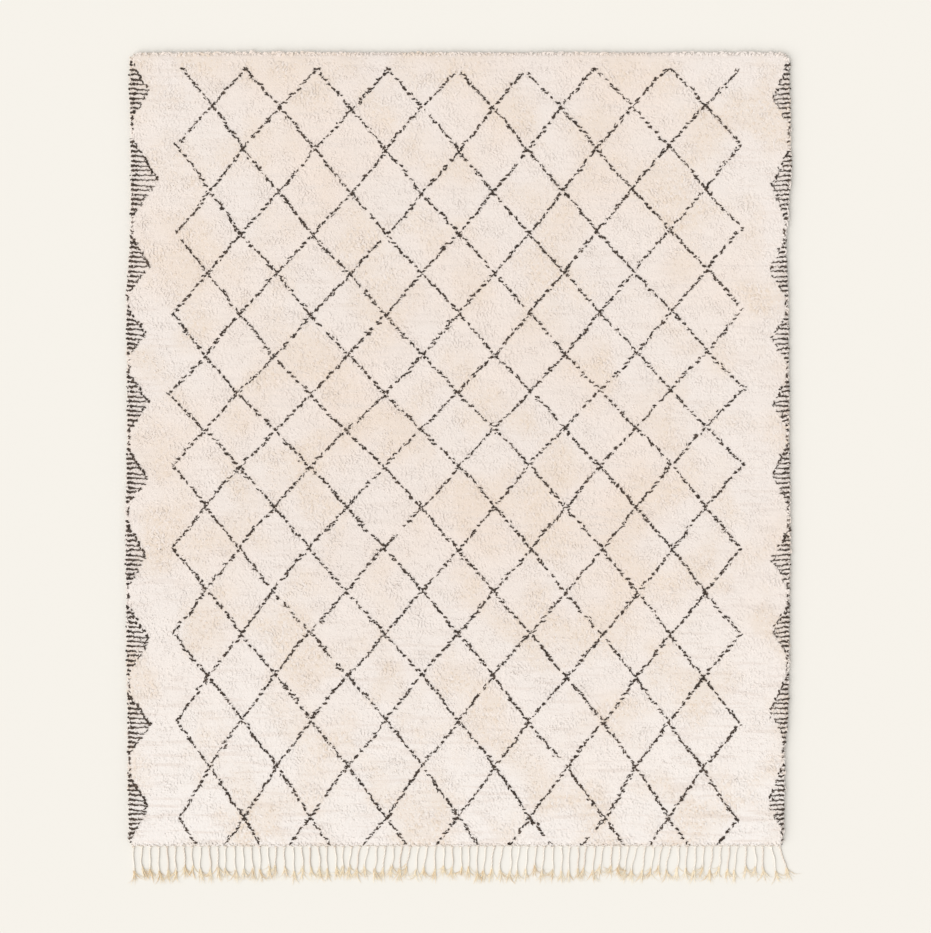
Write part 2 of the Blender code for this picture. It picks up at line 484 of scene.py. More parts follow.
class Finish:
    """A short way to lay out one material's nodes."""

    def __init__(self, name, roughness):
        self.material = bpy.data.materials.new(name)
        self.material.use_nodes = True
        self.tree = self.material.node_tree
        self.shader = self.tree.nodes["Principled BSDF"]
        self.shader.inputs["Roughness"].default_value = roughness
        self.place = self.tree.nodes.new("ShaderNodeTexCoord").outputs["Object"]

    def node(self, kind, settings=(), **inputs):
        """Adds a node; settings are its own properties, and inputs are sockets by name with _ for a space."""
        made = self.tree.nodes.new("ShaderNode" + kind)
        for key, value in dict(settings).items():
            setattr(made, key, value)
        for key, value in inputs.items():
            socket = made.inputs[int(key[1:])] if key[1:].isdigit() else made.inputs[key.replace("_", " ")]
            if isinstance(value, bpy.types.NodeSocket):
                self.tree.links.new(value, socket)
            else:
                socket.default_value = value
        return made

    def noise(self, scale, detail=2.0, stretch=(1, 1, 1)):
        """Noise of this many features a metre, squeezed by stretch along each axis."""
        place = self.node("Mapping", Vector=self.place, Scale=stretch).outputs[0]
        return self.node("TexNoise", Vector=place, Scale=scale, Detail=detail).outputs["Fac"]

    def spread(self, value, low, high, to_low=0.0, to_high=1.0):
        """A value from low to high taken to to_low to to_high, and held there outside."""
        made = self.node("MapRange", (), Value=value)
        for number, limit in zip((1, 2, 3, 4), (low, high, to_low, to_high)):
            made.inputs[number].default_value = limit
        return made.outputs[0]

    def mix(self, share, first, second, way="MIX"):
        """Two colours mixed by share."""
        made = self.node("Mix", {"data_type": "RGBA", "blend_type": way})
        for number, value in ((0, share), (6, first), (7, second)):
            if isinstance(value, bpy.types.NodeSocket):
                self.tree.links.new(value, made.inputs[number])
            else:
                made.inputs[number].default_value = value if number == 0 else (*value, 1.0)
        return made.outputs[2]

    def own(self, name):
        """A number that the piece keeps for each point."""
        return self.node("Attribute", {"attribute_name": name}).outputs["Fac"]

    def finish(self, colour, rough, height, depth):
        """Links the colour, the roughness and a bump of this depth."""
        self.tree.links.new(colour, self.shader.inputs["Base Color"])
        self.tree.links.new(rough, self.shader.inputs["Roughness"])
        bump = self.node("Bump", (), Height=height, Distance=depth, Strength=0.6)
        self.tree.links.new(bump.outputs[0], self.shader.inputs["Normal"])
        return self.material


def wool(name, root, tip, warm, dull, pale=None, sheen=0.25, matted=False):
    """Loose wool: darker at the root, each lock its own tint, warmer in wide patches, with a fine fibre.

    The darkening towards the root is painted shade, as deep in the pile, and the fibre's hollows are darkened
    towards the root colour as painted shade too. Where pale is given, the wool turns to it towards the lower
    end and the sides, and its dull locks keep to patches; faint lines of painted shade run across the rug,
    like the dips between its rows of knots. The fibre runs along each lock, and in matted wool, which has no
    locks, it curls in small tufts.
    """
    look = Finish(name, 0.9)
    look.shader.inputs["Sheen Weight"].default_value = sheen
    look.shader.inputs["Sheen Roughness"].default_value = 0.6
    look.shader.inputs["Specular IOR Level"].default_value = 0.2
    # Painted shade: each lock darkens from its tip towards its root, as the depths of the pile would in
    # shadow.
    shaded = look.mix(look.spread(look.own("along"), 0.0, 0.6), root, tip)
    colour = look.mix(look.spread(look.noise(2.2, 3.0), 0.42, 0.66), shaded, warm)
    dullness = look.own("tint")
    if pale:
        spot = look.node("SeparateXYZ", (), Vector=look.place)
        aside = look.node("Math", {"operation": "ABSOLUTE"}, _0=spot.outputs["X"]).outputs[0]
        lower = look.spread(spot.outputs["Y"], -0.3, LOWER_Y, 0.0, 0.85)
        sides = look.spread(aside, 0.5, BODY_HIGH.x, 0.0, 0.30)
        paleness = look.node("Math", {"operation": "ADD"}, _0=lower, _1=sides).outputs[0]
        colour = look.mix(paleness, colour, pale)
        # Painted shade: thin lines across the rug take the root colour, like the dips between rows of knots.
        furrow_shade = look.spread(look.noise(62, 2.0, stretch=(0.10, 1.0, 1.0)), 0.54, 0.66, 0.0, 0.75)
        colour = look.mix(furrow_shade, colour, root)
        patches = look.spread(look.noise(4.2, 2.0), 0.47, 0.62, 0.06, 1.0)
        dullness = look.node("Math", {"operation": "MULTIPLY"}, _0=dullness, _1=patches).outputs[0]
    tinted = look.mix(dullness, colour, dull)
    speck = look.noise(700, 2.0)
    if matted:
        curl = look.node(
            "TexWave", (), Vector=look.place, Scale=95.0, Distortion=26.0, Detail=3.0, Detail_Scale=0.35
        ).outputs["Fac"]
        tuft = look.noise(90, 3.0)
        streak = look.node("Math", {"operation": "MULTIPLY_ADD"}, _0=curl, _1=0.35, _2=tuft).outputs[0]
        depth = 0.0030
    else:
        strand = look.node("CombineXYZ", (), X=look.own("across"), Y=look.own("along"), Z=look.own("tint"))
        drawn_out = look.node("Mapping", (), Vector=strand.outputs[0], Scale=(7.0, 1.5, 60.0)).outputs[0]
        streak = look.node("TexNoise", (), Vector=drawn_out, Scale=1.0, Detail=3.0).outputs["Fac"]
        depth = 0.0010
    fibre = look.node("Math", {"operation": "MULTIPLY"}, _0=streak, _1=speck).outputs[0]
    # Painted shade: where the fibre is low, in its hollows, the colour takes up to 45% of the root colour.
    colour = look.mix(look.spread(fibre, 0.12, 0.40, 0.45, 0.0), tinted, root)
    return look.finish(colour, look.spread(fibre, 0.1, 0.4, 0.82, 1.0), fibre, depth)


def woven(name, light, dark):
    """The flat ground: weft ribs across the rug over finer warp ribs along it, unevenly dyed by use."""
    look = Finish(name, 0.9)
    look.shader.inputs["Specular IOR Level"].default_value = 0.2
    weft = look.node("TexWave", {"bands_direction": "Y"}, Vector=look.place, Scale=48.0, Distortion=1.5)
    warp = look.node("TexWave", {"bands_direction": "X"}, Vector=look.place, Scale=90.0, Distortion=1.0)
    ribs = look.node("Math", {"operation": "MULTIPLY"}, _0=weft.outputs[1], _1=warp.outputs[1]).outputs[0]
    cloud = look.mix(look.spread(look.noise(7.0, 4.0), 0.35, 0.7), light, dark)
    # Painted shade: the grooves between the ribs take up to half the dark colour.
    colour = look.mix(look.spread(ribs, 0.0, 0.6, 0.5, 0.0), cloud, dark)
    return look.finish(colour, look.spread(ribs, 0.0, 1.0, 1.0, 0.8), ribs, 0.0008)


def plain_floor():
    """A pale, even, matt floor."""
    material = bpy.data.materials.new("pale floor")
    material.use_nodes = True
    shader = material.node_tree.nodes["Principled BSDF"]
    shader.inputs["Base Color"].default_value = FLOOR_COLOUR
    shader.inputs["Roughness"].default_value = 1.0
    shader.inputs["Specular IOR Level"].default_value = 0.0
    return material


# Each wool's root colour is its tip colour darkened by painted shade, for the depths of the pile and the
# fibre's hollows.
IVORY_SHADES = {
    "root": (0.716, 0.636, 0.580),
    "tip": (0.764, 0.690, 0.638),
    "warm": (0.762, 0.655, 0.578),
    "dull": (0.705, 0.580, 0.460),
    "pale": (0.815, 0.768, 0.728),
}
IVORY = wool("ivory pile wool", **IVORY_SHADES)
MATTED = wool("matted ivory wool", matted=True, **IVORY_SHADES)
DARK = wool(
    "dark brown pattern wool",
    root=(0.014, 0.010, 0.008),
    tip=(0.046, 0.032, 0.023),
    warm=(0.058, 0.039, 0.027),
    dull=(0.160, 0.110, 0.080),
    sheen=0.1,
)
WARP = wool(
    "twisted warp wool",
    root=(0.80, 0.74, 0.66),
    tip=(0.88, 0.84, 0.77),
    warm=(0.86, 0.80, 0.71),
    dull=(0.62, 0.50, 0.40),
)
FRAY = wool(
    "frayed warp wool",
    root=(0.88, 0.79, 0.62),
    tip=(0.94, 0.87, 0.73),
    warm=(0.92, 0.81, 0.60),
    dull=(0.64, 0.42, 0.19),
)
GROUND = woven("woven wool ground", (0.74, 0.67, 0.58), (0.52, 0.45, 0.38))


# ---------------------------------------------------------------- ground and pile bed


def ground_weave():
    """The woven ground: a cloth 5 mm thick, its back ribbed by one ridge for each row of knots."""
    rows = 3 * round(LENGTH / ROW_PITCH) + 1
    x, y = plan_grid(rows, 12, GROUND_INSET)
    ridge = 0.5 + 0.5 * np.cos((y - LOWER_Y) / ROW_PITCH * TAU)
    points, faces = slab(x, y, np.full(x.shape, GROUND_TOP), GROUND_RIDGE * (1 - ridge))
    piece = make_piece("ground_weave", points, faces, GROUND)
    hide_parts("rug_body")
    return piece


def pile_bed():
    """The close lower pile: a cushioned layer that rolls down along the rim and swells in small tufts.

    Its upper side is a grid, its lower side one flat face.
    """
    x, y = plan_grid(*BED_GRID, BED_INSET, BED_RIM_STEPS)
    draw = np.random.default_rng(12)
    sunk = rim_drop(edge_distance(x, y) - BED_INSET, BED_ROLL)
    swell = 0.0005 * ripples(x, y, 0.11, 11) + 0.0005 * ripples(x, y, 0.036, 13, 12)
    swell = swell + draw.normal(0, 0.0003, x.shape)
    upper = BED_TOP + swell - (BED_TOP - GROUND_TOP - BED_LIFT) * sunk
    points, faces = slab(x, y, upper, GROUND_TOP + CLOTH_GAP)
    piece = make_piece("pile_bed", points, faces, MATTED)
    # Halfway along, like the lower part of a lock: the bed takes some of the root's painted shade.
    store(piece, "along", np.full(len(points), 0.5))
    store(piece, "tint", np.full(len(points), 0.4))
    return piece


# ---------------------------------------------------------------- dark knots


def knot_rows():
    """The y of every row of knots, from the lower end up."""
    count = round(LENGTH / ROW_PITCH)
    return LOWER_Y + (np.arange(count) + 0.5) * LENGTH / count


def lattice_crossings(draw):
    """The crossing points (x, y) of the lattice by row and column, each a little astray.

    A row is tilted by a straight line and sags by half a sine wave, about its mean height.
    """
    peaks = np.array([np.interp(LATTICE_ROWS, LATTICE_DEPTHS, row) for row in LATTICE_PEAKS]).T
    between = (peaks[:, 1:] + peaks[:, :-1]) / 2
    x = np.empty((len(LATTICE_ROWS), 2 * len(LATTICE_PEAKS) - 1))
    x[:, 0::2], x[:, 1::2] = peaks, between
    down = np.array(LATTICE_ROWS)[:, None]
    depths, tilts, sags = np.transpose(LATTICE_ROW_SHAPES)
    across = np.linspace(0, 1, x.shape[1])
    y = UPPER_Y - down - np.interp(down, depths, tilts) * (0.5 - across)
    y -= np.interp(down, depths, sags) * (np.sin(np.pi * across) - 2 / np.pi)
    stray = draw.uniform(-CROSSING_STRAY, CROSSING_STRAY, (2, *x.shape))
    return x + left_x(0.0) + stray[0], y + stray[1]


def lattice_knots():
    """Where the lattice's lines cross each row of knots: rows of x, y and the line's angle.

    A line runs straight between two crossings, bowed by half a sine wave, each knot a little astray.
    """
    draw = np.random.default_rng(21)
    x, y = lattice_crossings(draw)
    rows = knot_rows()
    found = []
    for i in range(x.shape[0] - 1):
        for j in range(i % 2, x.shape[1], 2):
            for k in (j - 1, j + 1):
                if not 0 <= k < x.shape[1]:
                    continue
                start, end = (x[i, j], y[i, j]), (x[i + 1, k], y[i + 1, k])
                on = rows[(rows < start[1]) & (rows >= end[1])]
                share = (start[1] - on) / (start[1] - end[1])
                bow = draw.uniform(-LINE_BOW, LINE_BOW) * np.sin(math.pi * share)
                jitter = draw.normal(0, LINE_JITTER, len(on))
                angle = math.atan2(end[1] - start[1], end[0] - start[0])
                place = start[0] + (end[0] - start[0]) * share + bow + jitter
                found.append(np.stack([place, on, np.full(len(on), angle)], 1))
    return np.concatenate(found)


FLECK_RINGS = (
    (0.00, 0.60, 0.2),
    (0.50, 1.00, 1.0),
    (1.00, 0.00, 0.4),
)
# A row of an array of knots holds its x, y, angle, weight and fade.


def held_back(x, y, heading, length, beyond, shortest):
    """Lengths cut so that no tip passes the edge by more than beyond, nor a lock is shorter than shortest.

    heading is the way from the root to the tip, so it has the lock's bend in it.
    """
    past = -edge_distance(x + length * np.cos(heading), y + length * np.sin(heading)) - beyond
    return np.maximum(length - np.clip(past, 0, None), shortest)


def overhang(y):
    """How far the tips of the locks rooted at y may pass the edge: not at all along the fringe."""
    return np.where(y < LOWER_Y + CLOSE_STRIP, 0.0, TIP_OVERHANG)


def flecks(name, knots, each, scatter, turn, length, width, seed, top):
    """Dark locks laid on the pile, several to a knot, scattered along and across their line's angle.

    A lock keeps the angle of its knot apart from a random turn, and fades with its knot's fade.
    """
    draw = np.random.default_rng(seed)
    many = np.repeat(knots, each, 0)
    count = len(many)
    line_angle, weight, fade = many[:, 2], many[:, 3], many[:, 4]
    heading = line_angle + draw.normal(0, turn, count) + math.pi * draw.integers(0, 2, count)
    bend = draw.normal(0, 0.35, count)
    size = length * draw.uniform(0.7, 1.3, count)
    along, across = (draw.normal(0, reach, count) for reach in scatter)
    line_x, line_y = np.cos(line_angle), np.sin(line_angle)
    x = many[:, 0] + along * line_x - across * line_y - 0.5 * size * np.cos(heading)
    y = many[:, 1] + along * line_y + across * line_x - 0.5 * size * np.sin(heading)
    size = held_back(x, y, heading + bend, size, TIP_OVERHANG, SHORTEST_FLECK)
    z = top + draw.uniform(-0.0016, 0.0010, count) - FLECK_ROOT_DROP
    sunk = rim_drop(np.clip(edge_distance(x, y), 0, None))
    roots = np.stack([x, y, np.maximum(z - sunk * FLECK_SINK, ROOT_FLOOR)], 1)
    piece, points_each = locks(
        name,
        roots,
        heading,
        size,
        width * draw.uniform(0.7, 1.25, count) * weight,
        FLECK_DEPTH * draw.uniform(0.8, 1.2, count),
        np.full(count, FLECK_RISE),
        bend,
        FLECK_RINGS,
        DARK,
    )
    tint = np.clip(fade + 0.8 * draw.uniform(0, 1, count) ** 3, 0, 1)
    store(piece, "tint", np.repeat(tint, points_each))
    return piece


def lozenge_knots():
    """The lattice in dark flecks: full, thin or missing from knot to knot, in smooth stretches.

    The flecks lie a little flatter than their line, which gives it a stepped look.
    """
    draw = np.random.default_rng(22)
    knots = lattice_knots()
    count = len(knots)
    strength = 0.45 * ripples(knots[:, 0], knots[:, 1], 0.09, 23) + draw.normal(0, 0.40, count)
    inside = (knots[:, 1] > LOWER_Y + 0.008) & (strength > -1.15)
    size = np.clip(1.0 + 0.25 * strength, 0.65, 1.35)
    fade = np.clip(-0.15 - 0.5 * strength, 0, 0.7)
    downward = knots[:, 2] + math.pi / 2
    flatter = np.sign(downward) * draw.uniform(0.0, 0.5, count)
    rows = np.stack([knots[:, 0], knots[:, 1], knots[:, 2] + flatter, size, fade], 1)[inside]
    each = np.clip(np.round(5.2 + 1.8 * strength[inside]), 2, 9).astype(int)
    return flecks("lozenge_knots", rows, each, (0.0066, 0.0019), 0.36, 0.0125, 0.0031, 24, PILE_TOP + 0.0026)


def bar_knots(edge_x, y, sign, reach, weight, draw):
    """One dark bar of a side triangle: thick at the edge, thinner and browner inward."""
    inward = np.arange(0.0015, max(reach, 0.002), BAR_STEP)
    thick = weight * np.interp(inward, (0.000, 0.016, 0.034), (1.65, 1.35, 0.55))
    fade = np.interp(inward, (0.012, 0.040), (0.0, 0.50)) * draw.uniform(0.3, 1.3)
    tilt = draw.normal(-0.06, 0.04) * sign
    x = edge_x + sign * inward
    wave = 0.0006 * np.sin(inward * 180 + draw.uniform(0, TAU))
    return np.stack([x, y + sign * inward * math.tan(tilt) + wave, np.full(len(x), tilt), thick, fade], 1)


def bound_knots(y_from, y_to, reach, edge, sign, weight, draw):
    """A slanting bound of a side triangle: a broken chain from the edge at y_from to the apex at y_to."""
    count = max(2, round(math.hypot(y_to - y_from, reach) / BOUND_STEP))
    share = (np.arange(count) + 0.5) / count
    y = y_from + (y_to - y_from) * share
    x = edge(y) + sign * (reach * share + draw.normal(0, 0.0034, count))
    angle = math.atan2(y_to - y_from, sign * reach) + draw.normal(0, 0.60, count)
    size = weight * draw.uniform(0.45, 1.50, count)
    kept = draw.uniform(0, 1, count) < 0.30 + 0.45 * weight
    return np.stack([x, y, angle, size, np.zeros(count)], 1)[kept]


def selvedge_specks(edge, sign, high_y, low_y, draw):
    """Small dark specks along the edge between two triangles."""
    count = max(1, round((high_y - low_y) / SPECK_STEP))
    y = draw.uniform(low_y, high_y, count)
    x = edge(y) + sign * draw.uniform(0.003, 0.008, count)
    angle = draw.uniform(0.3, 2.4, count)
    return np.stack([x, y, angle, draw.uniform(0.4, 1.0, count), draw.uniform(0.0, 0.7, count)], 1)


def side_comb_knots():
    """The side triangles: a dark bar in every knot row, closed by a heavy upper and a lighter lower bound."""
    draw = np.random.default_rng(31)
    rows = knot_rows()
    found = []
    for edge, sign, triangles, weight in (
        (left_x, 1, LEFT_TRIANGLES, LEFT_WEIGHT),
        (right_x, -1, RIGHT_TRIANGLES, RIGHT_WEIGHT),
    ):
        valley_above = 0.0
        for apex_down, reach, valley_below in triangles:
            apex_y = UPPER_Y - apex_down
            high_y = apex_y + (apex_down - valley_above) * (1 - TRIANGLE_GAP)
            low_y = apex_y - (valley_below - apex_down) * (1 - TRIANGLE_GAP)
            for y in rows[(rows < high_y) & (rows > low_y)]:
                end_y = high_y if y > apex_y else low_y
                share = 1 - abs(y - apex_y) / abs(end_y - apex_y)
                found.append(bar_knots(edge(y), y, sign, reach * share, weight, draw))
            found.append(bound_knots(high_y, apex_y, reach, edge, sign, UPPER_BOUND_WEIGHT * weight, draw))
            found.append(bound_knots(low_y, apex_y, reach, edge, sign, LOWER_BOUND_WEIGHT * weight, draw))
            gap_end = UPPER_Y - valley_below - SPECK_OVERRUN
            found.append(selvedge_specks(edge, sign, low_y, gap_end, draw))
            valley_above = valley_below
    knots = np.concatenate(found)
    knots = knots[(knots[:, 1] > LOWER_Y + 0.006) & (knots[:, 1] < UPPER_Y - 0.006)]
    return flecks("side_comb_knots", knots, 2, (0.0014, 0.0006), 0.10, 0.0120, 0.0034, 32, PILE_TOP + 0.0028)


# ---------------------------------------------------------------- ivory pile


PILE_RINGS = (
    (0.00, 0.75, 0.0),
    (0.46, 1.00, 1.0),
    (1.00, 0.00, 0.30),
)


def pile_roots(draw):
    """Places of the ivory locks: rows across the rug, every other one set off by half a step, astray."""
    rows = round(LENGTH / LOCK_PITCH_DOWN)
    columns = round((BODY_HIGH.x - BODY_LOW.x) / LOCK_PITCH_ACROSS)
    y = LOWER_Y + (np.arange(rows)[:, None] + 0.5) * LENGTH / rows
    y = y + np.zeros((1, columns))
    share = (np.arange(columns)[None, :] + 0.25 + 0.5 * (np.arange(rows)[:, None] % 2)) / columns
    y = y + 0.0016 * ripples(share * 2.5, y * 40, 0.30, 41) + draw.normal(0, 0.0016, y.shape)
    y = np.clip(y, LOWER_Y + 0.002, UPPER_Y - 0.002)
    x = left_x(y) + (right_x(y) - left_x(y)) * share + draw.normal(0, 0.0018, y.shape)
    return x.ravel(), y.ravel()


def ivory_pile():
    """The pile in bands, lower end first: locks combed towards the fringe, ruffled in wide patches.

    Near the rim they sink with the roll of the pile and turn outwards.
    """
    draw = np.random.default_rng(40)
    x, y = pile_roots(draw)
    ruffle = np.clip(0.25 + 0.6 * ripples(x, y, 0.34, 42), 0, 1)
    count = len(x)
    distance = np.clip(edge_distance(x, y), 0, None)
    sunk = rim_drop(distance)
    combed = -math.pi / 2 + 0.35 * ripples(x, y, 0.16, 43)
    near = np.clip(1 - distance / 0.026, 0, 1)
    turned = draw.uniform(0, 1, count) < 1.6 * near
    heading = np.where(turned, outward(x, y), combed) + draw.normal(0, 1, count) * (0.22 + 0.70 * ruffle)
    bend = draw.normal(0, 0.6, count)
    length = LOCK_LENGTH * draw.uniform(0.75, 1.15, count) * (1 - 0.35 * ruffle)
    length = held_back(x, y, heading + bend, length, overhang(y), SHORTEST_LOCK)
    furrow = ripples(x * 0.22, y, 0.030, 44)
    crease = np.exp(-(furrow / 0.25) ** 2) * (ripples(x * 0.5, y, 0.16, 47) > 0.35)
    top = PILE_TOP + 0.0005 * ripples(x, y, 0.10, 45) + 0.0004 * furrow - 0.0011 * crease
    top = top + draw.normal(0, 0.0003, count)
    rise = 0.0043 + 0.0012 * ruffle
    z = np.maximum(top - rise - PILE_SINK * sunk, ROOT_FLOOR)
    width = LOCK_WIDTH * draw.uniform(0.85, 1.2, count) * (1 - 0.25 * ruffle)
    depth = LOCK_DEPTH * draw.uniform(0.8, 1.2, count)
    tint = draw.uniform(0, 1, count)
    roots = np.stack([x, y, z], 1)
    bands = []
    marks = np.linspace(LOWER_Y, UPPER_Y, PILE_BANDS + 1)
    for number in range(PILE_BANDS):
        low, high = marks[number : number + 2]
        on = (y >= low) & ((y < high) | (number == PILE_BANDS - 1))
        piece, each = locks(
            f"ivory_pile_{number + 1}",
            roots[on],
            heading[on],
            length[on],
            width[on],
            depth[on],
            rise[on],
            bend[on],
            PILE_RINGS,
            IVORY,
        )
        store(piece, "tint", np.repeat(tint[on], each))
        bands.append(piece)
    return bands


RIM_RINGS = (
    (0.00, 0.80, 0.0),
    (0.55, 1.00, 0.3),
    (1.00, 0.00, 1.0),
)


# The tiers of locks round the rim. Columns: inset, height, length, drop.
RIM_TIERS = (
    (0.0075, 0.0052, 0.0125, 0.0010),
    (0.0075, 0.0102, 0.0125, 0.0030),
    (0.0085, 0.0148, 0.0130, 0.0046),
    (0.0170, 0.0186, 0.0190, 0.0030),
)


def rim_places(inset):
    """Places round the whole edge, this far inside it and about 6 mm apart."""
    down_side = np.arange(LOWER_Y + 0.006, UPPER_Y - 0.006, RIM_STEP_DOWN)
    upper_end = np.arange(left_x(UPPER_Y) + 0.010, right_x(UPPER_Y) - 0.010, RIM_STEP_ACROSS)
    lower_end = np.arange(left_x(LOWER_Y) + 0.006, right_x(LOWER_Y) - 0.006, RIM_STEP_ACROSS)
    x = [left_x(down_side) + inset, right_x(down_side) - inset, upper_end, lower_end]
    upper_y = np.full(len(upper_end), UPPER_Y - inset)
    lower_y = np.full(len(lower_end), LOWER_Y + inset)
    return np.concatenate(x), np.concatenate([down_side, down_side, upper_y, lower_y])


def rim_pile():
    """The pile's outer face: short locks round the whole edge in tiers, pointing out and down.

    The uppermost tier starts further in and lies over the rim, where the pile parts.
    """
    draw = np.random.default_rng(46)
    tiers = []
    for inset, height, length, drop in RIM_TIERS:
        x, y = rim_places(inset)
        tiers.append(np.stack([x, y, *(np.full(len(x), value) for value in (height, length, drop))]))
    x, y, height, length, drop = np.concatenate(tiers, 1)
    count = len(x)
    bend = draw.normal(0, 0.5, count)
    heading = outward(x, y) + draw.normal(0, 0.40, count)
    x = x + draw.normal(0, 0.0016, count)
    y = y + draw.normal(0, 0.0016, count)
    roots = np.stack([x, y, height + draw.normal(0, 0.0008, count)], 1)
    length = length * draw.uniform(0.75, 1.25, count)
    piece, each = locks(
        "rim_pile",
        roots,
        heading,
        held_back(x, y, heading + bend, length, overhang(y), SHORTEST_RIM_LOCK),
        RIM_LOCK_WIDTH * draw.uniform(0.8, 1.2, count),
        RIM_LOCK_DEPTH * draw.uniform(0.8, 1.2, count),
        -drop,
        bend,
        RIM_RINGS,
        IVORY,
    )
    store(piece, "tint", np.repeat(draw.uniform(0, 1, count), each))
    return piece


# ---------------------------------------------------------------- fringe


def eased_value(rows, column, place):
    """A table's column at this place of its first column: half-cosine steps between its rows."""
    for before, after in zip(rows, rows[1:]):
        if place <= after[0]:
            share = (place - before[0]) / (after[0] - before[0])
            eased = (1 - math.cos(math.pi * share)) / 2
            return before[column] + (after[column] - before[column]) * eased
    return rows[-1][column]


def fringe_paths():
    """The strands' middle lines: straight down, bowed aside by half a sine wave, leaning in proportion."""
    draw = random.Random(FRINGE_SEED)
    root_y = FRINGE_HIGH.y - HEADING_DEPTH
    longest = root_y - FRINGE_LOW.y
    span = RIGHT_END_X - LEFT_END_X - 2 * END_STRAND_INSET
    rows = []
    for number in range(STRANDS):
        across = number / (STRANDS - 1)
        shortening = draw.uniform(0.0, STRAND_LENGTH_SPREAD) if number else 0.0
        sway = draw.uniform(-STRAND_SWAY, STRAND_SWAY)
        stray = draw.uniform(-STRAND_STRAY, STRAND_STRAY)
        lean = eased_value(LEAN_ROWS, LEAN_COLUMNS.index("lean"), across) + stray
        rows.append((LEFT_END_X + END_STRAND_INSET + span * across, longest - shortening, sway, lean))
    return np.array(rows), root_y


def on_strand(strand, root_y, share):
    """Places and headings on each strand's middle line at these shares of its length."""
    x0, length, sway, lean = (strand[:, k, None] for k in range(4))
    x = x0 + sway * np.sin(math.pi * share) + lean * share
    y = root_y - length * share
    across = (sway * math.pi * np.cos(math.pi * share) + lean) / length
    wander = WOBBLE * np.sin(TAU * share * (1.2 + 90 * abs(sway)) + 900 * x0)
    heading = np.arctan2(-1.0, across)
    return x + wander * np.sin(math.pi * np.clip(share, 0, 1)), y, heading


def plies(x, y, z, heading, twist, offset, radius, sides=CORD_SIDES, count=2):
    """Plies wound round middle lines: each ply's middle circles the line, and a ring of points stands on it.

    x, y, z, heading and twist have a row for each line and a column for each station.
    """
    parts = []
    side = np.stack([-np.sin(heading), np.cos(heading), np.zeros_like(heading)], -1)
    up = np.array([0.0, 0.0, 1.0])
    middle = np.stack([x, y, np.broadcast_to(z, x.shape)], -1)
    corner = np.arange(sides) * TAU / sides
    for ply in range(count):
        angle = (twist + ply * TAU / count)[..., None]
        centre = middle + offset * (np.cos(angle) * side + np.sin(angle) * up)
        ring = np.cos(corner)[:, None] * side[:, :, None, :] + np.sin(corner)[:, None] * up
        parts.append(centre[:, :, None, :] + radius * ring)
    points = np.stack(parts, 1)
    lines, stations = x.shape
    faces = repeated(tube_faces(stations, sides), lines * count, stations * sides)
    return points.reshape(-1, 3), faces, tube_places(stations, sides, lines * count)


def keep_twine(piece, draw, stations, sides, tubes):
    """Gives a twine its numbers for the material: a tint for each ply, seldom strong, and its sides."""
    store(piece, "tint", np.repeat(draw.uniform(0, 1, tubes) ** 2, stations * sides))
    store(piece, "along", np.full(tubes * stations * sides, 0.8))
    store(piece, "across", np.tile(np.linspace(-1, 1, sides), tubes * stations))


def fringe_cords(strand, root_y):
    """The strands as two-ply cords, down to where they come untwisted."""
    stations, sides = 28, CORD_SIDES
    draw = np.random.default_rng(51)
    cord_share = (1 - (FRAY_LENGTH - CORD_OVERLAP) / strand[:, 1])[:, None]
    share = np.linspace(0, 1, stations)[None, :] * cord_share
    x, y, heading = on_strand(strand, root_y, share)
    turns = draw.uniform(5.0, 6.0, len(strand))[:, None]
    twist = TAU * turns * np.linspace(0, 1, stations)[None, :] + draw.uniform(0, TAU, len(strand))[:, None]
    points, faces, places = plies(x, y, CORD_HEIGHT, heading, twist, PLY_OFFSET, CORD_PLY_RADIUS, sides)
    piece = make_piece("fringe_cords", points, faces, WARP, places)
    keep_twine(piece, draw, stations, sides, 2 * len(strand))
    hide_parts("fringe")
    return piece


FRAY_RINGS = (
    (0.00, 0.80, 0.0),
    (0.30, 1.00, 0.6),
    (0.65, 0.80, 1.0),
    (1.00, 0.00, 0.3),
)


def fringe_frays(strand, root_y):
    """The untwisted ends: thin locks that leave the end of each cord in a narrow fan."""
    draw = np.random.default_rng(52)
    many = np.repeat(strand, FRAYS_EACH, 0)
    count = len(many)
    share = 1 - (FRAY_LENGTH * draw.uniform(0.70, 1.10, count)) / many[:, 1]
    x, y, heading = (value[:, 0] for value in on_strand(many, root_y, share[:, None]))
    fan = np.repeat(draw.normal(0, 0.08, len(strand)), FRAYS_EACH)
    fan = fan + np.clip(draw.normal(0, 0.12, count), -0.3, 0.3)
    roots = np.stack([x + draw.normal(0, 0.0018, count), y, draw.uniform(0.0008, 0.0040, count)], 1)
    room = many[:, 1] * (1 - share)
    length = np.minimum(room * draw.uniform(0.75, 1.42, count), room + FRAY_OVERREACH)
    bend = np.repeat(draw.normal(0, 0.20, len(strand)), FRAYS_EACH) + draw.normal(0, 0.46, count)
    piece, points_each = locks(
        "fringe_frays",
        roots,
        heading + fan,
        length,
        FRAY_WIDTH * draw.uniform(0.7, 1.4, count),
        FRAY_DEPTH * draw.uniform(0.8, 1.3, count),
        draw.uniform(-0.0002, 0.0022, count),
        bend,
        FRAY_RINGS,
        FRAY,
    )
    store(piece, "tint", np.repeat(draw.uniform(0, 1, count) ** 2.5, points_each))
    return piece


def fringe_heading():
    """The twined cord along the lower edge that the strands are knotted under."""
    draw = np.random.default_rng(53)
    stations, sides = 950, CORD_SIDES
    share = np.linspace(0, 1, stations)[None, :]
    low, high = LEFT_END_X + HEADING_INSET, RIGHT_END_X - HEADING_INSET
    x = low + (high - low) * share
    y = np.full(x.shape, FRINGE_HIGH.y - HEADING_DROP)
    level = np.zeros(x.shape)
    twist = TAU * HEADING_TURNS * share
    points, faces, places = plies(x, y, HEADING_HEIGHT, level, twist, PLY_OFFSET, HEADING_PLY_RADIUS, sides)
    piece = make_piece("fringe_heading", points, faces, WARP, places)
    keep_twine(piece, draw, stations, sides, 2)
    return piece


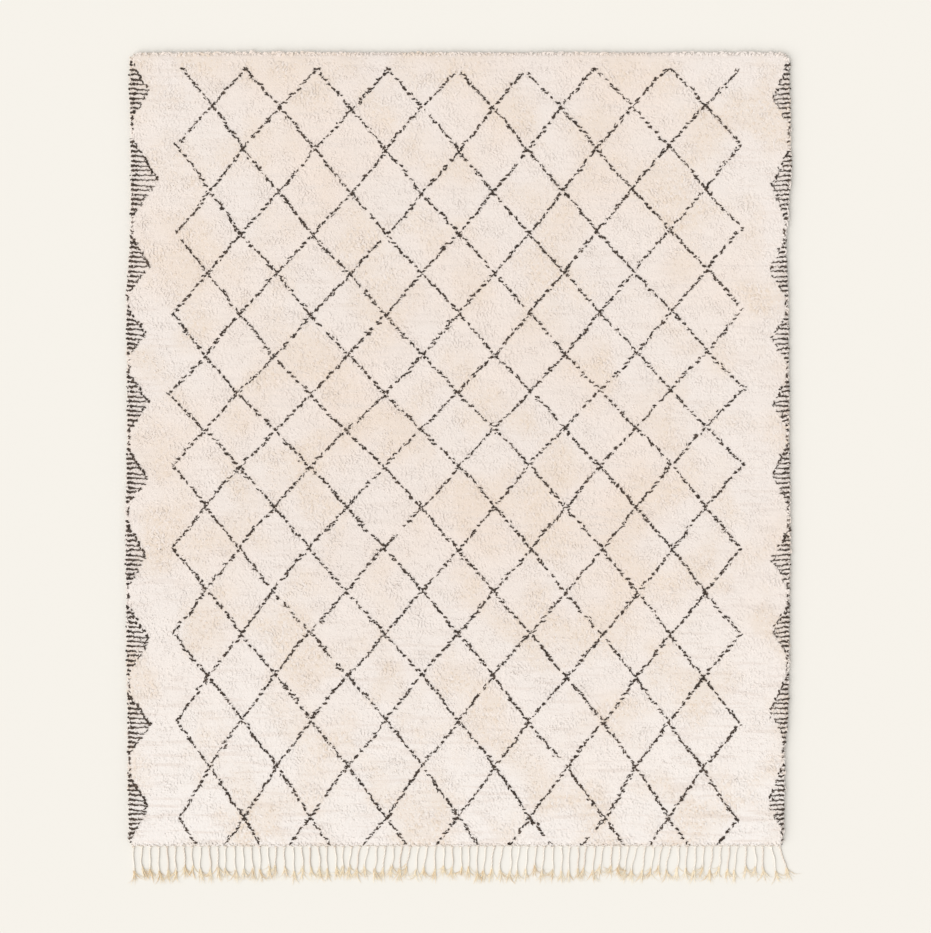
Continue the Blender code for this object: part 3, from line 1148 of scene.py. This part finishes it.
def fringe_knots(strand, root_y):
    """A knot at the root of each strand: two tilted rings of cord, one round the other."""
    stations, sides = 12, CORD_SIDES
    draw = np.random.default_rng(54)
    angle = np.arange(stations) * TAU / stations
    parts = []
    for tilt, reach in ((0.5, 0.0040), (-0.6, 0.0032)):
        swing = tilt + draw.normal(0, 0.2, len(strand))[:, None]
        x = strand[:, :1] + reach * np.cos(angle)
        y = root_y - 0.0005 + reach * 0.62 * np.sin(angle) * np.cos(swing) + 0.0012 * np.cos(angle) * tilt
        z = np.broadcast_to(HEADING_HEIGHT + 0.0024 * np.sin(angle), y.shape)
        centre = np.stack([x, y, z], -1)
        away = centre - centre.mean(1, keepdims=True)
        away /= np.linalg.norm(away, axis=-1, keepdims=True)
        ahead = np.roll(centre, -1, 1) - np.roll(centre, 1, 1)
        ahead /= np.linalg.norm(ahead, axis=-1, keepdims=True)
        across = np.cross(ahead, away)
        corner = np.arange(sides) * TAU / sides
        ring = np.cos(corner)[:, None] * away[:, :, None] + np.sin(corner)[:, None] * across[:, :, None]
        parts.append(centre[:, :, None] + CORD_PLY_RADIUS * ring)
    points = np.stack(parts, 1)
    faces = repeated(tube_faces(stations, sides, True), 2 * len(strand), stations * sides)
    places = tube_places(stations, sides, 2 * len(strand), True)
    piece = make_piece("fringe_knots", points.reshape(-1, 3), faces, WARP, places)
    keep_twine(piece, draw, stations, sides, 2 * len(strand))
    return piece


# ---------------------------------------------------------------- stage


def floor():
    """A wide plain floor just under the rug."""
    bpy.ops.mesh.primitive_plane_add(size=FLOOR_SIZE, location=(0.0, 0.0, -FLOOR_GAP))
    plane = bpy.context.object
    plane.name = "floor"
    plane.data.materials.append(plain_floor())


def studio():
    """Even light from all round, and a broad, soft share from the lower left."""
    scene = bpy.context.scene
    scene.world = bpy.data.worlds.new("studio")
    scene.world.use_nodes = True
    background = scene.world.node_tree.nodes["Background"]
    background.inputs["Color"].default_value = (1.0, 1.0, 1.0, 1.0)
    background.inputs["Strength"].default_value = AMBIENT_STRENGTH
    lamp = bpy.data.lights.new("broad key", "SUN")
    lamp.energy = KEY_STRENGTH
    lamp.angle = KEY_SOFTNESS
    holder = bpy.data.objects.new("broad key", lamp)
    holder.rotation_euler = Vector(KEY_FROM).to_track_quat("Z", "Y").to_euler()
    scene.collection.objects.link(holder)
    scene.view_settings.view_transform = "Standard"


def camera():
    """A long lens straight above, which keeps the rug's sides square."""
    lens = bpy.data.cameras.new("camera")
    lens.lens = LENS_MM
    lens.sensor_width = SENSOR_MM
    lens.clip_end = 100.0
    holder = bpy.data.objects.new("camera", lens)
    holder.location = (CAMERA_ASIDE, (UPPER_Y + LOWER_Y) / 2 - CAMERA_DOWN, CAMERA_HEIGHT)
    bpy.context.scene.collection.objects.link(holder)
    bpy.context.scene.camera = holder


def main():
    """Makes every piece, then the stage, the light and the camera."""
    ground = ground_weave()
    bed = pile_bed()
    bands = ivory_pile() + [rim_pile()]
    lozenges = lozenge_knots()
    combs = side_comb_knots()
    strand, root_y = fringe_paths()
    cords = fringe_cords(strand, root_y)
    frays = fringe_frays(strand, root_y)
    heading = fringe_heading()
    knots = fringe_knots(strand, root_y)
    floor()
    studio()
    camera()


main()
